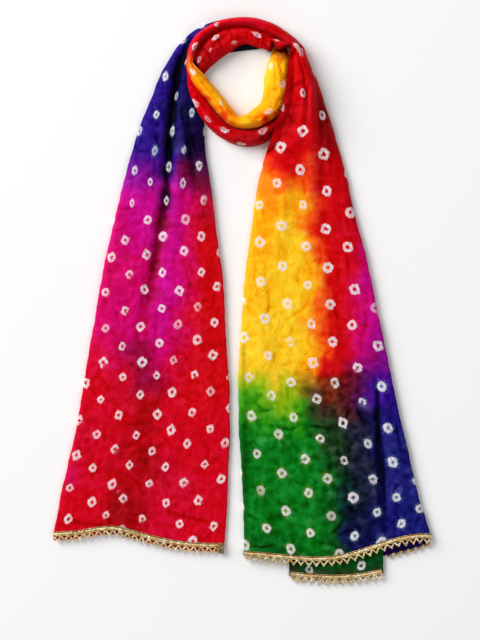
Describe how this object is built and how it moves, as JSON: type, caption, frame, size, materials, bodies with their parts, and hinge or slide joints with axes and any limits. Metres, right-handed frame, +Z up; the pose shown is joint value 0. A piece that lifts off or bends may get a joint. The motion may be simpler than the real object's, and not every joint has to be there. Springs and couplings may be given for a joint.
{
  "type": "dupatta stole",
  "caption": "Long crinkled cloth stole laid flat, looped once into a neck ring, with two wide tails and zigzag lace at the hems.",
  "frame": {"origin": "on the surface that the stole lies on, under the middle of its outline", "axes": "+Y from the hems towards the neck ring, +X across the tails, +Z up off the surface"},
  "size_m": [0.5686, 0.8516, 0.0337],
  "materials": {
    "cloth_left_tail": "soft sheen",
    "cloth_violet": "soft sheen",
    "cloth_red": "soft sheen",
    "cloth_yellow": "soft sheen",
    "cloth_right_tail": "soft sheen",
    "cloth_green": "soft sheen",
    "cloth_navy": "soft sheen",
    "lace_gold": "metallic thread"
  },
  "bodies": {
    "root": {"left_tail": "cloth_left_tail", "nape_under": "cloth_violet", "nape_inner": "cloth_red", "nape_outer": "cloth_red", "crossing_fold": "cloth_red", "throat_upper": "cloth_yellow", "throat_lower": "cloth_red", "right_tail": "cloth_right_tail", "back_layer": "cloth_navy", "tucked_fold": "cloth_green", "lace_left": "lace_gold", "lace_right": "lace_gold", "lace_back": "lace_gold", "lace_tucked": "lace_gold"}
  },
  "joints": []
}
